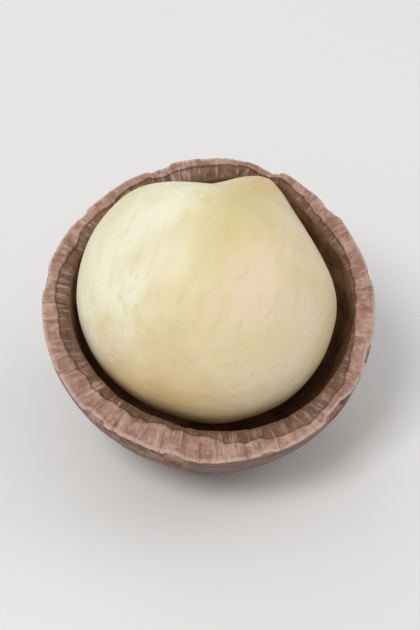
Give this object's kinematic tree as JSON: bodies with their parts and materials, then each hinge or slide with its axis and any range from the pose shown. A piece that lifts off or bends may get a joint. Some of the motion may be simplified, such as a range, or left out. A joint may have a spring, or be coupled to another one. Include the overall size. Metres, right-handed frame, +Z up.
{
  "type": "macadamia nut in shell",
  "caption": "Opened macadamia nut: a broken woody half shell with the whole round kernel lying loose in it, resting on a small flat spot.",
  "frame": {"origin": "centre of the small flat spot under the shell, which the nut rests on", "axes": "+Z up; the shell leans 22 degrees about X, so its broken opening faces up and towards -Y; +X is to the right seen from -Y; the kernel's tip points away from -Y, turned 24 degrees towards +X"},
  "size_m": [0.025, 0.0239, 0.0221],
  "materials": {
    "shell": "satin",
    "kernel": "satin"
  },
  "bodies": {
    "root": {"shell": "shell", "kernel": "kernel"}
  },
  "joints": []
}
